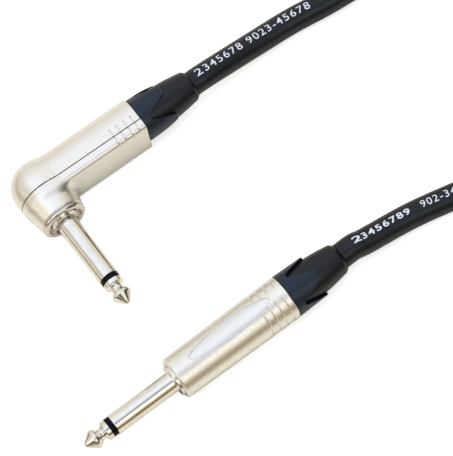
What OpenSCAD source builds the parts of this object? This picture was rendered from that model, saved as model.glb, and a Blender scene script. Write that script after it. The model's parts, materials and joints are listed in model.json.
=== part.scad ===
// Two-core audio lead with one straight and one right-angle 6.35 mm jack plug.
// Each plug has a screw-on boot over a slotted chuck that grips the cable.
// Millimetres, +Z up, the table is Z = 0, the straight plug lies along X, tip towards -X.
// The origin is the middle of the two plugs' footprint, on the table.

/* [Jack finger] */
// Diameter of the plug finger
finger_d = 6.35; // [6.1:0.05:6.5]
// Length of the straight plug's finger, from its point to its shoulder
finger_l = 30.85; // [30:0.05:34]
// Length of the right-angle plug's finger, from its point to the socket's rim
angle_finger_l = 32; // [30:0.25:34]
// Length of the tip contact, from the point to the insulating ring
tip_l = 8.25; // [8.1:0.05:9]
// Largest diameter of the tip's bulb
bulb_d = 6.1; // [5.9:0.05:6.2]
// Diameter of the tip's neck
neck_d = 3.5; // [3.2:0.1:4.2]
// Width of the insulating ring between tip and sleeve
ring_w = 1.6; // [1:0.1:2.2]
// Depth of the insulating ring below the finger's surface
ring_inset = 0.2; // [0.18:0.02:0.3]
// Diameter of the rod that joins the tip to its terminal
rod_d = 2.3; // [2:0.1:2.6]
// Wall of the insulating tube round the rod
tube_wall = 0.8; // [0.5:0.1:0.9]

/* [Contacts] */
// Thickness of the sheet that the terminals are bent from
sheet_t = 0.6; // [0.4:0.1:0.7]
// Width of the ground terminal's arm
arm_w = 2.4; // [2:0.1:2.6]
// Thickness of the flange that seats the sleeve in its housing
flange_t = 2; // [1.4:0.1:2.4]
// Thickness of the insulating washer
washer_t = 1.9; // [1.4:0.1:2.1]
// Diameter of the insulating washer
washer_d = 7.8; // [7:0.1:7.9]
// Diameter of the tip terminal's eye
eye_d = 6; // [5.6:0.1:6.4]
// Length of a solder cup
cup_l = 4; // [3:0.25:4.5]
// Wall of a solder cup
cup_wall = 0.5; // [0.3:0.1:0.6]
// Step between the two terminals along the straight plug
cup_step = 1.6; // [1.2:0.1:2]

/* [Straight plug] */
// Length of the straight shell
shell_l = 39.6; // [38:0.2:46]
// Diameter of the straight shell at its front
shell_front_d = 13.15; // [12.4:0.05:13.4]
// Diameter of the straight shell at its rear
shell_rear_d = 14.05; // [13.9:0.05:15]
// Diameter of the collar behind the straight finger
collar_d = 10.2; // [9.4:0.1:10.3]
// How far the collar stands out of the shell
collar_proud = 0.8; // [0.8:0.1:2]
// Thickness of the shell's front wall
front_wall = 1.6; // [1.2:0.1:2.4]
// Length of the oval name field, left bare
oval_l = 28.6; // [22:0.2:30]
// Width of the oval name field
oval_w = 6.2; // [4:0.2:7]
// Distance from the shell's front to the middle of the name field
oval_x = 20.1; // [18:0.1:22]
// Depth of the oval name field
oval_deep = 0.2; // [0.1:0.02:0.3]

/* [Right-angle plug] */
// Radius of the round back of the angle housing
barrel_r = 7.55; // [7.4:0.05:7.7]
// Distance from the cable axis to the flat face on the finger's side
face_y = 6.35; // [6.3:0.05:6.9]
// Distance from the cable axis to the joint between cover and base
split_y = 3.2; // [2.8:0.1:3.8]
// Radius of the elbow round the finger's axis
elbow_r = 8.5; // [8.1:0.05:8.8]
// Distance from the cable axis to the rim of the socket
rim_y = 13.6; // [13.2:0.1:14.4]
// Radius of the socket's rim
rim_r = 7.1; // [6.9:0.05:7.4]
// Thickness of the ring in front of the socket
rim_t = 1.5; // [1.2:0.1:1.8]
// Radius of the recess in the socket's rim
recess_r = 5.4; // [5:0.05:5.6]
// Depth of the recess in the socket's rim
recess_deep = 0.9; // [0.6:0.1:1.1]
// Diameter of the collar behind the angle finger
angle_collar_d = 8.8; // [8.6:0.1:9.2]
// Thickness of the base's wall under the front ring
base_wall = 1; // [0.8:0.1:1.4]
// Distance from the finger's axis to the rear of the angle housing
barrel_l = 34.8; // [34:0.2:40]
// Radius of the two long edges of the flat face
edge_r = 0.8; // [0.4:0.1:1.2]

/* [Grip grooves] */
// Number of grip grooves round each housing
groove_n = 4; // [2:1:4]
// Spacing of the grip grooves
groove_step = 2.45; // [2:0.05:2.6]
// Distance from the housing's rear edge to the first groove
groove_first = 2.1; // [1.6:0.1:2.6]
// Width of a groove
groove_w = 0.45; // [0.3:0.05:0.7]
// Depth of a groove
groove_deep = 0.2; // [0.1:0.02:0.3]
// Distance from the cable axis to the upper ends of the angle housing's grooves
groove_top = 0.5; // [0.2:0.1:1.5]

/* [Boot] */
// Length of the boot behind the housing
boot_l = 19.3; // [17:0.1:23]
// Diameter of the boot's nut at the housing
nut_d = 13.9; // [13.4:0.1:13.9]
// Diameter over the ends of the petals
petal_d = 13.3; // [12.8:0.1:13.4]
// Length of the nut behind the housing, petals included
petal_l = 10.3; // [9:0.1:11.5]
// Length of the solid band in front of the petals
band_l = 2.7; // [2:0.1:3.4]
// Width of a petal's blunt end
petal_end_w = 2.4; // [1.6:0.1:3.2]
// Radius of the round bottom between two petals
valley_r = 1.1; // [0.7:0.1:1.4]
// Diameter of the soft guard under the petals
guard_d = 11.7; // [11.4:0.1:11.8]
// Diameter of the soft guard at the cable
guard_end_d = 9.4; // [9.3:0.1:10]
// Outside diameter of the nut's threaded nose
thread_d = 11.2; // [11:0.1:11.2]
// Length of the threaded nose
thread_l = 8; // [7:0.5:9]
// Turn of the straight plug's boot about the cable
straight_boot_turn = 22; // [0:1:89]
// Turn of the angle plug's boot about the cable
angle_boot_turn = 80; // [0:1:89]

/* [Chuck] */
// Outside diameter of the slotted chuck
chuck_d = 9.4; // [9.3:0.05:9.5]
// Diameter of the chuck's front flange
chuck_flange_d = 10.6; // [10.2:0.1:10.8]
// Length of the chuck inside the housing
chuck_l = 18; // [16:0.5:20]
// Length of the chuck's jaws behind the housing
jaw_l = 5.5; // [4:0.5:6.5]
// Width of each slot
slot_w = 1.2; // [0.8:0.1:1.6]
// Length of each slot
slot_l = 15; // [12:0.5:18]

/* [Cable] */
// Outside diameter of the cable
cable_d = 7.8; // [7.6:0.05:7.85]
// Diameter of an insulated core
core_d = 3; // [2.8:0.1:3.2]
// Diameter of a bare conductor
wire_d = 1.8; // [1.6:0.1:1.9]
// Distance between the two cores' middles
core_gap = 3.6; // [3.4:0.1:3.8]
// Length of insulated core in front of the cable's end
core_l = 2; // [1.5:0.1:2.2]

/* [Coil] */
// Radius of the outermost turn's middle line
coil_r = 52; // [50:0.5:56]
// Spacing of the turns, and of the layers
coil_step = 8.3; // [8.3:0.05:8.8]
// Width of the coil's tie
tie_w = 14; // [10:1:20]
// Thickness of the coil's tie
tie_t = 1; // [0.8:0.1:1.4]

/* [Placing] */
// Sideways distance from the origin to the straight plug
straight_y = 36.8; // [34:0.1:45]
// Distance from the origin to the angle plug's finger along X
angle_x = 9.1; // [0:0.1:20]
// Sideways distance from the origin to the angle plug's cable axis
angle_y = 35.3; // [34:0.1:45]
// Turn of the angle plug on the table
angle_yaw = 1.55; // [0:0.05:3]

/* [Hidden] */
$fn = 48;

NICKEL = [0.83, 0.80, 0.75];
SATIN = [0.80, 0.77, 0.72];
BRASS = [0.80, 0.66, 0.38];
BLACK = [0.06, 0.06, 0.08];
SOFT_BLACK = [0.09, 0.085, 0.08];
WHITE = [0.82, 0.82, 0.80];
RED = [0.65, 0.10, 0.08];

// Gap between pieces that seat in each other and stay put
seat_gap = 0.05;
// Radial gap of the chuck on the cable
chuck_gap = 0.15;
// Radial gap of the nut's plain nose in the housing, and of the nut on the chuck
turn_gap = 0.15;
// Radial gap of the guard on the cable
guard_gap = 0.3;
// Gap between the housing's rear edge and the nut
nut_gap = 0.1;
// Slot round the collar
collar_gap = 0.12;
// Gap between the tie and the coil, and between the tie and the table
tie_gap = 0.1;
// Where the tie lies round the coil, from +X
tie_angle = -60;
// Overlap of a cutter past the face that it cuts
past = 1;
// Sides of a lead, and of the coil
lead_sides = 12;
coil_sides = 6;
// Rings in one turn of the coil
turn_rings = 24;
// Layers of the coil, and turns in each
coil_layers = 4;
layer_turns = 2.625;

finger_r = finger_d/2;
bulb_r = bulb_d/2;
neck_r = neck_d/2;
rod_r = rod_d/2;
tube_in = rod_r + seat_gap;
sleeve_in = tube_in + tube_wall + seat_gap;
collar_r = collar_d/2;
angle_collar_r = angle_collar_d/2;
washer_r = washer_d/2;
cable_r = cable_d/2;
bore_r = thread_d/2 + turn_gap;
cup_in = wire_d/2 + seat_gap;

// Stations along the straight plug, from its point
shell_x = finger_l + collar_proud;
joint_x = shell_x + shell_l;
overall_l = joint_x + boot_l;
flange_x = shell_x + front_wall;
// Stations along the angle plug's finger, from its point
angle_flange_x = angle_finger_l + rim_t + base_wall;
// Distance from the angle finger's point to the cable axis
angle_point_y = rim_y + angle_finger_l;
// Front of the cut cable, in front of the housing's rear edge
cable_front = chuck_l + 0.5;

// Where the two cables leave their boots
straight_exit = [overall_l/2, -straight_y, shell_rear_d/2];
angle_exit = [(barrel_l + boot_l)*cos(angle_yaw) - angle_x,
    angle_y - (barrel_l + boot_l)*sin(angle_yaw), elbow_r];
// Straight stretch that the boot backs over
exit_run = 5.2;

// The leads' further routes on the table, and the coil's middle
angle_route = [[69.5, 34, 5], [81.5, 33.5, 4], [95.5, 31.5, 4], [111.5, 30.5, 4],
    [127.5, 31.5, 4], [143.5, 35.5, 4], [157.5, 38.5, 4]];
straight_route = [[54.5, -37.3, 6.2], [69.5, -38.5, 4], [82.5, -41.5, 4], [95.5, -45.5, 5],
    [107.5, -50.5, 9], [119.5, -55.5, 15], [132.5, -60.5, 22], [145.5, -62.5, 27]];
coil_at = [178, -11];

function lerp(a, b, t) = a + (b - a)*t;
function smooth(t) = t*t*(3 - 2*t);
function unit(v) = v/norm(v);
// Radius of the tapered straight shell, x from its front
function shell_r(x) = lerp(shell_front_d, shell_rear_d, x/shell_l)/2;
// Radius of the nut, x from the housing's rear edge
function nut_r(x) = lerp(nut_d, petal_d, x/petal_l)/2;
// Radius of the soft guard, which curves in behind the petals
function guard_r(x) =
    lerp(guard_d, guard_end_d, pow(max(0, x - petal_l)/(boot_l - petal_l), 1.4))/2;

// A turned piece, its axis laid along +X
module turned_x() {
    rotate([0, 90, 0])
        rotate_extrude($fn = 96)
            children();
}

// A turned piece, its axis laid along +Y
module turned_y() {
    rotate([-90, 0, 0])
        rotate_extrude($fn = 96)
            children();
}

// A profile's rectangle between two radii and two stations
module band(r0, r1, x0, x1) {
    translate([r0, x0])
        square([r1 - r0, x1 - x0]);
}

// ---- profiles of the jack finger, with stations from its point ----

// Point, bulb, neck and flange of the tip, with the rod behind it
module tip_profile(rod_end) {
    polygon([[0, 0], [0.45, 0], [0.8, 0.2], [bulb_r - 0.5, 2.05], [bulb_r - 0.15, 2.5],
        [bulb_r, 3], [bulb_r - 0.05, 3.5], [bulb_r - 0.35, 4.05], [neck_r + 0.35, 4.75],
        [neck_r + 0.08, 5.2], [neck_r, 5.6], [neck_r + 0.08, 6.1], [neck_r + 0.35, 6.5],
        [neck_r + 0.8, 6.8], [bulb_r - 0.3, 7], [bulb_r - 0.05, 7.3], [bulb_r - 0.05, tip_l],
        [rod_r, tip_l], [rod_r, rod_end], [0, rod_end]]);
}

module insulator_profile(end) {
    band(tube_in, finger_r - ring_inset, tip_l, tip_l + ring_w);
    band(tube_in, tube_in + tube_wall, tip_l + ring_w, end);
}

module sleeve_profile(shoulder, collar, seat) {
    front = tip_l + ring_w;
    polygon([[sleeve_in, front], [finger_r, front], [finger_r, shoulder - 0.3],
        [finger_r + 0.3, shoulder], [collar - 0.25, shoulder], [collar, shoulder + 0.25],
        [collar, seat], [collar + 0.3, seat], [collar + 0.3, seat + flange_t],
        [sleeve_in, seat + flange_t]]);
}

module washer_profile(at) {
    band(tube_in, washer_r, at, at + washer_t);
}

// ---- terminals: the cable runs along +X, the cores lie one above the other ----

// Half pipe along +X, open to +Z, with a closed front wall
module solder_cup() {
    difference() {
        rotate([0, 90, 0])
            cylinder(r = cup_in + cup_wall, h = cup_l);
        translate([sheet_t, 0, 0])
            rotate([0, 90, 0])
                cylinder(r = cup_in, h = cup_l);
        translate([-past, -washer_d, 0])
            cube([cup_l + 2*past, 2*washer_d, washer_d]);
    }
}

// Ring with a hole for the rod, its axis along +X
module eye() {
    turned_x()
        band(tube_in, eye_d/2, 0, sheet_t);
}

// ---- straight plug: x from the finger's point ----

module place_straight() {
    translate([-overall_l/2, -straight_y, shell_rear_d/2])
        children();
}

straight_back = flange_x + flange_t;
straight_rod = straight_back + washer_t + sheet_t;
straight_cup_x = straight_rod + sheet_t + cup_step;

module straight_tip() {
    color(NICKEL)
        place_straight()
            turned_x()
                tip_profile(straight_rod);
}

module straight_insulator() {
    color(BLACK)
        place_straight()
            turned_x()
                insulator_profile(straight_back);
}

module straight_sleeve() {
    color(NICKEL)
        place_straight()
            turned_x()
                sleeve_profile(finger_l, collar_r, flange_x);
}

module straight_washer() {
    color(BLACK)
        place_straight()
            turned_x()
                washer_profile(straight_back);
}

module straight_tip_terminal() {
    color(BRASS)
        place_straight() {
            translate([straight_rod - sheet_t, 0, 0])
                eye();
            translate([straight_rod, 0, core_gap/2])
                solder_cup();
        }
}

module straight_ground_terminal() {
    under = washer_r + seat_gap + sheet_t;
    color(BRASS)
        place_straight() {
            translate([straight_back, -arm_w/2, -under])
                cube([straight_cup_x + sheet_t - straight_back, arm_w, sheet_t]);
            translate([straight_cup_x, -arm_w/2, -under])
                cube([sheet_t, arm_w, under - core_gap/2]);
            translate([straight_cup_x, 0, -core_gap/2])
                solder_cup();
        }
}

// Two arcs that meet in blunt ends, along X
module oval_outline() {
    blunt = 1.2;
    chord = oval_l + 2*blunt;
    arc_r = (chord*chord + oval_w*oval_w)/(4*oval_w);
    intersection() {
        translate([0, arc_r - oval_w/2])
            circle(r = arc_r, $fn = 180);
        translate([0, oval_w/2 - arc_r])
            circle(r = arc_r, $fn = 180);
        square([oval_l, oval_w], center = true);
    }
}

module shell_profile() {
    lip = 0.6;
    polygon([[0, 0], [shell_front_d/2 - lip, 0], [shell_front_d/2 - 0.18, 0.18],
        [shell_r(lip), lip], [shell_r(shell_l - 0.2), shell_l - 0.2],
        [shell_r(shell_l) - 0.2, shell_l], [0, shell_l]]);
}

// The shell's front hole, the room behind it and the bore for the nut's nose
module shell_hollow() {
    step_x = shell_l - cable_front - core_l;
    band(0, collar_r + collar_gap, -past, front_wall + past);
    band(0, collar_r + 0.3 + seat_gap, front_wall, step_x + past);
    band(0, bore_r, step_x, shell_l + past);
}

// Rings cut into the shell, but not in the name field's line
module shell_grooves() {
    difference() {
        turned_x()
            for (k = [0 : groove_n - 1]) {
                x = shell_l - groove_first - k*groove_step;
                band(shell_r(x) - groove_deep, shell_r(x) + past,
                    x - groove_w/2, x + groove_w/2);
            }
        translate([-past, -oval_w/2, -shell_rear_d])
            cube([shell_l + 2*past, oval_w, 2*shell_rear_d]);
    }
}

// The name field follows the shell's taper at a steady depth
module oval_recess() {
    difference() {
        translate([oval_x, 0, 0])
            linear_extrude(shell_rear_d)
                oval_outline();
        turned_x()
            polygon([[0, -past], [shell_r(-past) - oval_deep, -past],
                [shell_r(shell_l) - oval_deep, shell_l], [0, shell_l]]);
    }
}

module straight_shell() {
    color(SATIN)
        place_straight()
            translate([shell_x, 0, 0])
                difference() {
                    turned_x()
                        shell_profile();
                    turned_x()
                        shell_hollow();
                    shell_grooves();
                    oval_recess();
                }
}

// ---- chuck, boot and cable end: x from the housing's rear edge, for both plugs ----

// A tube that grips the cable, with a front flange and four slotted jaws
module chuck() {
    inner = cable_r + chuck_gap;
    outer = chuck_d/2;
    difference() {
        turned_x()
            polygon([[inner, -chuck_l], [chuck_flange_d/2, -chuck_l],
                [chuck_flange_d/2, 2 - chuck_l], [outer, 2 - chuck_l], [outer, jaw_l - 2.5],
                [inner + 0.25, jaw_l], [inner, jaw_l]]);
        for (a = [0, 90])
            rotate([a, 0, 0])
                translate([jaw_l - slot_l, -slot_w/2, -chuck_d])
                    cube([slot_l + past, slot_w, 2*chuck_d]);
    }
}

// Cutter between two petals, drawn along x: a V whose walls touch its round bottom
module petal_gap() {
    bottom = band_l + valley_r;
    reach = petal_l - bottom;
    // Half the width of the V at the petals' ends, and its walls' lean
    half = petal_d/2*sin(45 - asin(petal_end_w/petal_d));
    lean = acos(valley_r/norm([half, reach])) - atan2(reach, half);
    spread = half + past*tan(lean);
    steps = 10;
    polygon(concat([[petal_l + past, -spread], [petal_l + past, spread]],
        [for (k = [0 : steps])
            let (a = lerp(90 + lean, 270 - lean, k/steps))
                [bottom + valley_r*cos(a), valley_r*sin(a)]]));
}

// Nut: a nose that screws into the housing, a band, and four petals
module boot_nut() {
    nose = thread_d/2;
    inner = chuck_d/2 + turn_gap;
    cup = guard_d/2 + seat_gap;
    difference() {
        turned_x()
            polygon([[inner, -thread_l], [nose - 0.3, -thread_l], [nose, 0.3 - thread_l],
                [nose, nut_gap], [nut_r(0) - 0.2, nut_gap], [nut_r(0.3), nut_gap + 0.2],
                [nut_r(petal_l - 0.2), petal_l - 0.2], [nut_r(petal_l) - 0.2, petal_l],
                [cup, petal_l], [cup, nut_gap + 0.7], [inner, nut_gap + 0.7]]);
        for (a = [45 : 90 : 315])
            rotate([a, 0, 0])
                linear_extrude(nut_d)
                    petal_gap();
    }
}

// Soft guard: fills the petals from within and narrows to the cable
module boot_guard() {
    start = nut_gap + 0.7 + seat_gap;
    chamfer = 0.8;
    wide = chuck_d/2 + turn_gap;
    narrow = cable_r + guard_gap;
    steps = 8;
    turned_x()
        polygon(concat([[wide, start], [guard_r(0), start]],
            [for (k = [0 : steps])
                let (x = lerp(petal_l, boot_l - chamfer, k/steps)) [guard_r(x), x]],
            [[guard_end_d/2 - 0.45, boot_l], [narrow, boot_l], [narrow, jaw_l + 1.7],
                [wide, jaw_l + 0.1]]));
}

// The stretch of cable inside the plug
module cable_end() {
    translate([-cable_front, 0, 0])
        rotate([0, 90, 0])
            cylinder(r = cable_r, h = cable_front + boot_l, $fn = 64);
}

// One core: insulated at the cable's end, bare as far as its solder cup
module core(wire_l) {
    translate([-cable_front - core_l, 0, 0])
        rotate([0, 90, 0]) {
            cylinder(r = core_d/2, h = core_l);
            translate([0, 0, -wire_l])
                cylinder(r = wire_d/2, h = wire_l + seat_gap);
        }
}

module at_straight_joint() {
    place_straight()
        translate([joint_x, 0, 0])
            children();
}

module straight_chuck() {
    color(WHITE)
        at_straight_joint()
            chuck();
}

module straight_boot_nut() {
    color(BLACK)
        at_straight_joint()
            rotate([straight_boot_turn, 0, 0])
                boot_nut();
}

module straight_boot_guard() {
    color(SOFT_BLACK)
        at_straight_joint()
            boot_guard();
}

module straight_cable_end() {
    color(SOFT_BLACK)
        at_straight_joint()
            cable_end();
}

// Bare wire as far as a cup's front wall
straight_wire_x = joint_x - cable_front - core_l - sheet_t - seat_gap;

module straight_hot_core() {
    color(RED)
        at_straight_joint()
            translate([0, 0, core_gap/2])
                core(straight_wire_x - straight_rod);
}

module straight_ground_core() {
    color(WHITE)
        at_straight_joint()
            translate([0, 0, -core_gap/2])
                core(straight_wire_x - straight_cup_x);
}

// ---- right-angle plug: finger along -Y from the cable axis, which is +X ----

module place_angle() {
    translate([-angle_x, angle_y, elbow_r])
        rotate([0, 0, -angle_yaw])
            children();
}

// Children's stations run from the finger's point
module place_angle_finger() {
    place_angle()
        translate([0, -angle_point_y, 0])
            turned_y()
                children();
}

angle_back = angle_flange_x + flange_t;
angle_rod = angle_back + washer_t + sheet_t;
// Fronts of the two solder cups, from the finger's axis
angle_hot_x = eye_d/2 - 1;
angle_ground_x = washer_r + seat_gap;

module angle_tip() {
    color(NICKEL)
        place_angle_finger()
            tip_profile(angle_rod);
}

module angle_insulator() {
    color(BLACK)
        place_angle_finger()
            insulator_profile(angle_back);
}

module angle_sleeve() {
    color(NICKEL)
        place_angle_finger()
            sleeve_profile(angle_finger_l + recess_deep/2, angle_collar_r, angle_flange_x);
}

module angle_washer() {
    color(BLACK)
        place_angle_finger()
            washer_profile(angle_back);
}

// A strip that stands up from y to the level of a core, in front of its cup
module terminal_arm(x, y, level) {
    translate([x, y, -arm_w/2])
        cube([sheet_t, level - y, arm_w]);
    translate([x, level, 0])
        rotate([-90, 0, 0])
            solder_cup();
}

module angle_tip_terminal() {
    eye_y = angle_rod - sheet_t - angle_point_y;
    color(BRASS)
        place_angle() {
            translate([0, eye_y, 0])
                rotate([0, 0, 90])
                    eye();
            terminal_arm(angle_hot_x, eye_y, core_gap/2);
        }
}

module angle_ground_terminal() {
    color(BRASS)
        place_angle()
            terminal_arm(angle_ground_x, angle_back - angle_point_y, -core_gap/2);
}

// Section of the housing across the cable: x is the round back's side, y is up
module housing_section(inset) {
    half = barrel_r - inset;
    face = face_y - inset;
    intersection() {
        circle(r = half, $fn = 96);
        translate([0, -half])
            square([half, 2*half]);
    }
    translate([edge_r - face, -half])
        square([face - edge_r, 2*half]);
    translate([-face, edge_r - half])
        square([edge_r, 2*half - 2*edge_r]);
    for (s = [-1, 1])
        translate([edge_r - face, s*(half - edge_r)])
            circle(r = edge_r);
}

// A section drawn as [y, z], pushed along +X
module along_x(length) {
    rotate([90, 0, 90])
        linear_extrude(length)
            children();
}

// Ball-ended elbow and the boss that curves in to the rim, stations towards +Y
module elbow_profile() {
    reach = rim_y - rim_t;
    steps = 8;
    intersection() {
        circle(r = elbow_r, $fn = 96);
        square(elbow_r);
    }
    polygon(concat([[0, 0], [0, -reach]],
        [for (k = [steps : -1 : 0])
            [lerp(elbow_r, rim_r, pow(k/steps, 1.6)), -reach*k/steps]]));
}

// Short grooves across the joint on both sides, clear of the flat face and the round back
module housing_grooves() {
    flat = barrel_r - edge_r;
    for (k = [0 : groove_n - 1])
        translate([barrel_l - groove_first - k*groove_step - groove_w/2, 0, 0])
            difference() {
                translate([0, -2*barrel_r - groove_top, -2*barrel_r])
                    cube([groove_w, 2*barrel_r, 4*barrel_r]);
                translate([-past, 0, 0])
                    along_x(groove_w + 2*past)
                        housing_section(groove_deep);
                translate([-past, -3*barrel_r, -flat])
                    cube([groove_w + 2*past, 3*barrel_r, 2*flat]);
            }
}

// The whole outside of the angle housing, behind its front ring
module housing() {
    difference() {
        union() {
            along_x(barrel_l)
                housing_section(0);
            turned_y()
                elbow_profile();
        }
        housing_grooves();
    }
}

// Half-space on one side of the joint between cover and base
module beyond_split(side) {
    big = 2*(barrel_l + barrel_r);
    translate([-big/2, side > 0 ? -split_y : -split_y - big, -big/2])
        cube([2*big, big, big]);
}

// Base: a shallow tray with the socket's boss and the lower part of the rear bore
module angle_base() {
    flange_y = angle_flange_x - angle_point_y;
    color(SATIN)
        place_angle()
            difference() {
                intersection() {
                    housing();
                    beyond_split(-1);
                }
                rotate([0, 90, 0])
                    cylinder(r = bore_r, h = barrel_l + past, $fn = 64);
                turned_y() {
                    band(0, angle_collar_r + collar_gap, -rim_y, 0);
                    band(0, angle_collar_r + 0.3 + 2*seat_gap, flange_y, 0);
                }
            }
}

// Cover: the round back, open towards the base so that it lifts off over the boot
module angle_cover() {
    color(SATIN)
        place_angle()
            difference() {
                intersection() {
                    housing();
                    beyond_split(1);
                }
                along_x(barrel_l + past) {
                    circle(r = bore_r, $fn = 64);
                    translate([-elbow_r, -bore_r])
                        square([elbow_r, 2*bore_r]);
                }
                turned_y() {
                    intersection() {
                        circle(r = bore_r, $fn = 64);
                        square(bore_r);
                    }
                    band(0, bore_r, -elbow_r, 0);
                }
            }
}

// Ring with a rounded lip in front of the socket
module angle_front_ring() {
    lip = rim_r - 0.9;
    color(NICKEL)
        place_angle_finger()
            translate([0, angle_finger_l])
                polygon([[recess_r, 0], [lip, 0], [lip + 0.5, 0.15], [lip + 0.8, 0.45],
                    [rim_r, 0.95], [rim_r, rim_t], [angle_collar_r + collar_gap, rim_t],
                    [angle_collar_r + collar_gap, recess_deep], [recess_r, recess_deep]]);
}

module at_angle_joint() {
    place_angle()
        translate([barrel_l, 0, 0])
            children();
}

module angle_chuck() {
    color(WHITE)
        at_angle_joint()
            chuck();
}

module angle_boot_nut() {
    color(BLACK)
        at_angle_joint()
            rotate([angle_boot_turn, 0, 0])
                boot_nut();
}

module angle_boot_guard() {
    color(SOFT_BLACK)
        at_angle_joint()
            boot_guard();
}

module angle_cable_end() {
    color(SOFT_BLACK)
        at_angle_joint()
            cable_end();
}

angle_wire_x = barrel_l - cable_front - core_l - sheet_t - seat_gap;

module angle_hot_core() {
    color(RED)
        at_angle_joint()
            translate([0, core_gap/2, 0])
                core(angle_wire_x - angle_hot_x);
}

module angle_ground_core() {
    color(WHITE)
        at_angle_joint()
            translate([0, -core_gap/2, 0])
                core(angle_wire_x - angle_ground_x);
}

// ---- the cable on the table ----

function way(p, i) = unit(p[min(i + 1, len(p) - 1)] - p[max(i - 1, 0)]);

// Corners of a tube's section at point i of its route, square to the way there
function section_at(p, i, r, sides) =
    let (t = way(p, i), s = unit(cross([0, 0, 1], t)), u = cross(t, s))
    [for (k = [0 : sides - 1])
        p[i] + r*(cos(90 + 360*k/sides)*s + sin(90 + 360*k/sides)*u)];

// One closed tube along a route
module tube(p, r, sides) {
    last = (len(p) - 1)*sides;
    points = [for (i = [0 : len(p) - 1]) each section_at(p, i, r, sides)];
    walls = [for (i = [0 : len(p) - 2], k = [0 : sides - 1])
        let (a = i*sides + k, b = i*sides + (k + 1)%sides)
            each [[a, a + sides, b + sides], [a, b + sides, b]]];
    ends = [for (k = [1 : sides - 2])
        each [[0, k, k + 1], [last, last + k + 1, last + k]]];
    polyhedron(points = points, faces = concat(walls, ends));
}

// Middle line of the coil: spirals in and out, and climbs a layer where it reverses
coil_turns = coil_layers*layer_turns;
coil_z = cable_r + tie_t + 2*tie_gap;
function coil_radius(t) =
    let (pass = floor(t/layer_turns), done = t - pass*layer_turns)
    coil_r - coil_step*(pass%2 == 0 ? done : layer_turns - done);
// Height of point t, in half turns centred on each reversal
function climb(t, k) = smooth(min(1, max(0, (t - k*layer_turns)*2 + 0.5)));
function coil_height(t) =
    let (ups = [for (k = [1 : coil_layers - 1]) climb(t, k)])
    coil_z + coil_step*(ups*[for (u = ups) 1]);
function coil_point(t) =
    [coil_at[0] + coil_radius(t)*sin(360*t), coil_at[1] + coil_radius(t)*cos(360*t),
        coil_height(t)];
coil_points = [for (i = [0 : coil_turns*turn_rings]) coil_point(i/turn_rings)];
// Both ends run straight for one diameter, towards -X
coil_first = coil_points[0] - [cable_d, 0, 0];
coil_last = coil_points[len(coil_points) - 1] - [cable_d, 0, 0];
coil_line = concat([coil_first], coil_points, [coil_last]);

angle_line = concat([angle_exit, angle_exit + exit_run*[cos(angle_yaw), -sin(angle_yaw), 0]],
    angle_route, [coil_first - [cable_d, 0, 0], coil_first]);
straight_line = concat([straight_exit, straight_exit + [exit_run, 0, 0]],
    straight_route, [coil_last - [cable_d, 0, 0], coil_last]);

// Least gap between turns: points more than a third of a turn apart along the coil
apart = turn_rings/3;
gaps = [for (i = [0 : len(coil_line) - 1])
    min([for (j = [0 : len(coil_line) - 1])
        abs(i - j) < apart ? 1000 : norm(coil_line[i] - coil_line[j])]) - cable_d];
echo("least gap of the coil to itself", min(gaps));

function length_of(p) = len(p) < 2 ? 0 :
    [for (i = [1 : len(p) - 1]) norm(p[i] - p[i - 1])]*[for (i = [1 : len(p) - 1]) 1];
echo("cable on the table", length_of(angle_line) + length_of(coil_line)
    + length_of(straight_line));

module angle_lead() {
    color(SOFT_BLACK)
        tube(angle_line, cable_r, lead_sides);
}

module coil() {
    color(SOFT_BLACK)
        tube(coil_line, cable_r, coil_sides);
}

module straight_lead() {
    color(SOFT_BLACK)
        tube(straight_line, cable_r, lead_sides);
}

// The coil's section with round corners, as [distance from the coil's middle, height]
module coil_section(grow) {
    corner = 2 + grow;
    low = cable_r + grow;
    inner = coil_r - layer_turns*coil_step - low;
    outer = coil_r + low;
    top = coil_z + (coil_layers - 1)*coil_step + low;
    translate([inner, coil_z - low + corner])
        square([outer - inner, top - coil_z + low - 2*corner]);
    translate([inner + corner, coil_z - low])
        square([outer - inner - 2*corner, top - coil_z + low]);
    for (x = [inner + corner, outer - corner], z = [coil_z - low + corner, top - corner])
        translate([x, z])
            circle(r = corner);
}

// A strap round all the turns at one place
module coil_tie() {
    turn = tie_w/(coil_r - layer_turns*coil_step/2)*180/PI;
    color(BLACK)
        translate(coil_at)
            rotate([0, 0, tie_angle - turn/2])
                rotate_extrude(angle = turn, $fn = 96)
                    difference() {
                        coil_section(tie_gap + tie_t);
                        coil_section(tie_gap);
                    }
}

straight_tip();
straight_insulator();
straight_sleeve();
straight_washer();
straight_tip_terminal();
straight_ground_terminal();
straight_shell();
straight_chuck();
straight_boot_nut();
straight_boot_guard();
straight_cable_end();
straight_hot_core();
straight_ground_core();
angle_tip();
angle_insulator();
angle_sleeve();
angle_washer();
angle_tip_terminal();
angle_ground_terminal();
angle_base();
angle_cover();
angle_front_ring();
angle_chuck();
angle_boot_nut();
angle_boot_guard();
angle_cable_end();
angle_hot_core();
angle_ground_core();
angle_lead();
coil();
straight_lead();
coil_tie();
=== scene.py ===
"""Looks of the two-plug audio lead: camera, cable, metal, materials, print, floor and light.

Metres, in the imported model's frame: +Z up, the table at Z = 0, the straight plug along X.
The sizes of a plug are in millimetres, and place_straight and place_angle turn them to metres."""
import json
import math

import bmesh
import bpy
import numpy as np
from mathutils import Matrix, Vector


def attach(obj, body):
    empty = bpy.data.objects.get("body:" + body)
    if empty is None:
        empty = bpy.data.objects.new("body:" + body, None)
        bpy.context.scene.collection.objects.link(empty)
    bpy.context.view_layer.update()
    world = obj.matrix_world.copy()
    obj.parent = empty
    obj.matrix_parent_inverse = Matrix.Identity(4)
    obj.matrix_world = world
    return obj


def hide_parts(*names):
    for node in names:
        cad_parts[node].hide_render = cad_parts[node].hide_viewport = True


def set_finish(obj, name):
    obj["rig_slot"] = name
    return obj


MM = 0.001

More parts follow.
